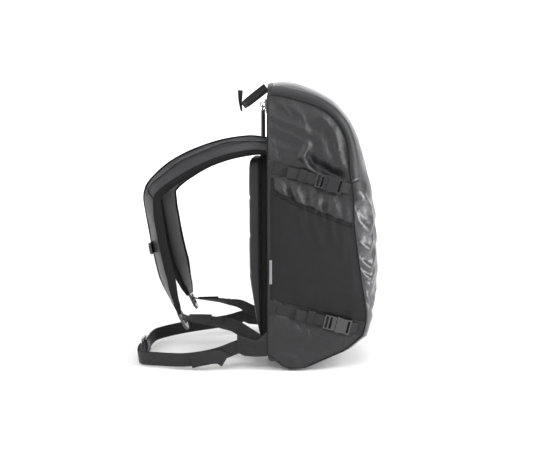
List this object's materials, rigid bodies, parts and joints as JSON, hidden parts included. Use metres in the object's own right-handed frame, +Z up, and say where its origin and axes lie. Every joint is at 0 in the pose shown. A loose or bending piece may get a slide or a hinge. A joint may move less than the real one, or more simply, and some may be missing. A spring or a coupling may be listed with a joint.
{
  "type": "avalanche airbag backpack",
  "caption": "Black ski backpack with an airbag system: padded shoulder straps, hip belt, compression straps, stretch side pockets and a zipped crown panel.",
  "frame": {"origin": "middle of the back panel's flat contact face", "axes": "+X away from the wearer, +Y to the wearer's right, +Z up"},
  "size_m": [0.4585, 0.2934, 0.5329],
  "materials": {
    "coated_nylon": "tight black nylon weave with a polyurethane coating, satin sheen",
    "stretch_fabric": "matte four-way stretch knit",
    "padding_fabric": "smooth fabric over foam",
    "webbing": "woven polyamide webbing, ribbed along its length",
    "acetal_plastic": "moulded acetal, semi-gloss",
    "zip_tape": "woven zip tape with a coil",
    "zip_metal": "nickelled zinc",
    "buckle_metal": "dark coated metal",
    "label_fabric": "blank woven label",
    "frame_plastic": "extruded polyethylene sheet",
    "frame_aluminium": "rolled aluminium bar",
    "cartridge_steel": "painted steel cylinder",
    "system_aluminium": "machined aluminium",
    "system_steel": "ground steel",
    "system_plastic": "moulded glass-filled nylon",
    "flap_rubber": "moulded rubber disc",
    "airbag_nylon": "folded ripstop nylon",
    "trigger_plastic": "moulded handle",
    "cable_steel": "steel cable"
  },
  "bodies": {
    "root": {"airbag_clamp_ring": "system_aluminium", "airbag_folded": "airbag_nylon", "back_pad": "padding_fabric", "bag_shell": "coated_nylon", "belt_buckle_hook": "buckle_metal", "buckle_tabs": "webbing", "clamp_screws": "system_steel", "firing_head": "system_aluminium", "frame_sheet": "frame_plastic", "frame_stays": "frame_aluminium", "hip_webbing_left": "webbing", "hip_webbing_right": "webbing", "hip_wing_left": "padding_fabric", "hip_wing_right": "padding_fabric", "inflator_tube": "system_plastic", "intake_grille": "system_plastic", "lever_pivot": "system_steel", "lower_socket_left": "acetal_plastic", "lower_socket_right": "acetal_plastic", "lower_strap_left": "webbing", "lower_strap_right": "webbing", "lower_webbing_left": "webbing", "lower_webbing_right": "webbing", "pin_spring": "system_steel", "shoulder_strap_left": "padding_fabric", "shoulder_strap_right": "padding_fabric", "side_label": "label_fabric", "side_pocket_left": "stretch_fabric", "side_pocket_right": "stretch_fabric", "strap_keepers": "acetal_plastic", "trigger_cable": "cable_steel", "upper_socket_left": "acetal_plastic", "upper_socket_right": "acetal_plastic", "upper_strap_left": "webbing", "upper_strap_right": "webbing", "zip_sliders": "zip_metal", "zip_tape": "zip_tape"},
    "front_panel": {"front_panel": "coated_nylon", "rain_flap": "coated_nylon"},
    "zip_pull_left": {"zip_pull_left": "acetal_plastic"},
    "ladder_lock_left": {"ladder_lock_left": "acetal_plastic"},
    "upper_clip_left": {"upper_clip_left": "acetal_plastic"},
    "lower_clip_left": {"lower_clip_left": "acetal_plastic"},
    "zip_pull_right": {"zip_pull_right": "acetal_plastic"},
    "ladder_lock_right": {"ladder_lock_right": "acetal_plastic"},
    "upper_clip_right": {"upper_clip_right": "acetal_plastic"},
    "lower_clip_right": {"lower_clip_right": "acetal_plastic"},
    "haul_loop": {"haul_loop": "webbing", "grab_tab": "webbing"},
    "sternum_strap": {"sternum_sliders": "acetal_plastic", "sternum_web_left": "webbing", "sternum_web_right": "webbing", "sternum_socket": "acetal_plastic"},
    "sternum_clip": {"sternum_clip": "acetal_plastic"},
    "belt_buckle_plate": {"belt_buckle_plate": "buckle_metal"},
    "trigger_handle": {"trigger_handle": "trigger_plastic"},
    "trigger_lever": {"trigger_lever": "system_steel"},
    "piercing_pin": {"piercing_pin": "system_steel"},
    "check_flap": {"check_flap": "flap_rubber"},
    "gas_cartridge": {"gas_cartridge": "cartridge_steel"}
  },
  "joints": [
    {"name": "panel_open", "type": "hinge", "parent": "root", "child": "front_panel", "pos_m": [0.2307, 0, 0.0798], "axis": [0, 1, 0], "range_deg": [0, 100]},
    {"name": "zip_pull_swing_left", "type": "hinge", "parent": "root", "child": "zip_pull_left", "pos_m": [0.0275, -0.118, 0.21], "axis": [0, 1, 0], "range_deg": [-5, 90]},
    {"name": "zip_pull_swing_right", "type": "hinge", "parent": "root", "child": "zip_pull_right", "pos_m": [0.0275, 0.118, 0.21], "axis": [0, 1, 0], "range_deg": [-5, 90]},
    {"name": "haul_loop_swing", "type": "hinge", "parent": "root", "child": "haul_loop", "pos_m": [0.033, 0, 0.247], "axis": [0, 1, 0], "range_deg": [-15, 110]},
    {"name": "ladder_lock_tilt_left", "type": "hinge", "parent": "root", "child": "ladder_lock_left", "pos_m": [-0.12796, -0.095, -0.1753], "axis": [0, 1, 0], "range_deg": [-3, 35]},
    {"name": "ladder_lock_tilt_right", "type": "hinge", "parent": "root", "child": "ladder_lock_right", "pos_m": [-0.12796, 0.095, -0.1753], "axis": [0, 1, 0], "range_deg": [-3, 35]},
    {"name": "upper_clip_release_left", "type": "slide", "parent": "root", "child": "upper_clip_left", "axis": [-0.9613, 0, 0.2756], "range_m": [0, 0.016]},
    {"name": "upper_clip_release_right", "type": "slide", "parent": "root", "child": "upper_clip_right", "axis": [-0.9613, 0, 0.2756], "range_m": [0, 0.016]},
    {"name": "lower_clip_release_left", "type": "slide", "parent": "root", "child": "lower_clip_left", "axis": [-0.9703, 0, 0.2419], "range_m": [0, 0.016]},
    {"name": "lower_clip_release_right", "type": "slide", "parent": "root", "child": "lower_clip_right", "axis": [-0.9703, 0, 0.2419], "range_m": [0, 0.016]},
    {"name": "sternum_height", "type": "slide", "parent": "root", "child": "sternum_strap", "axis": [-0.1653, 0, 0.9862], "range_m": [-0.035, 0.06]},
    {"name": "sternum_release", "type": "slide", "parent": "sternum_strap", "child": "sternum_clip", "axis": [0, -1, 0], "range_m": [0, 0.016]},
    {"name": "belt_buckle_release", "type": "hinge", "parent": "root", "child": "belt_buckle_plate", "pos_m": [-0.20932, -0.022, -0.26026], "axis": [-0.1323, 0, 0.9912], "range_deg": [0, 100]},
    {"name": "trigger_pull", "type": "slide", "parent": "root", "child": "trigger_handle", "axis": [0.1653, 0, -0.9862], "range_m": [0, 0.025]},
    {"name": "lever_rock", "type": "hinge", "parent": "root", "child": "trigger_lever", "pos_m": [0.092, -0.095, 0.025], "axis": [0, -1, 0], "range_deg": [0, 20]},
    {"name": "pin_drive", "type": "slide", "parent": "root", "child": "piercing_pin", "axis": [0, 0, -1], "range_m": [0, 0.006]},
    {"name": "check_flap_open", "type": "hinge", "parent": "root", "child": "check_flap", "pos_m": [0.11, 0.10075, 0.134], "axis": [-1, 0, 0], "range_deg": [0, 60]},
    {"name": "cartridge_unscrew", "type": "hinge", "parent": "root", "child": "gas_cartridge", "pos_m": [0.078, -0.095, -0.105], "axis": [0, 0, -1], "range_deg": [0, 360]}
  ],
  "couplings": [
    {"joint": "lever_rock", "follows": "trigger_pull", "rad_per_m": 13.963},
    {"joint": "pin_drive", "follows": "trigger_pull", "ratio": 0.24}
  ]
}
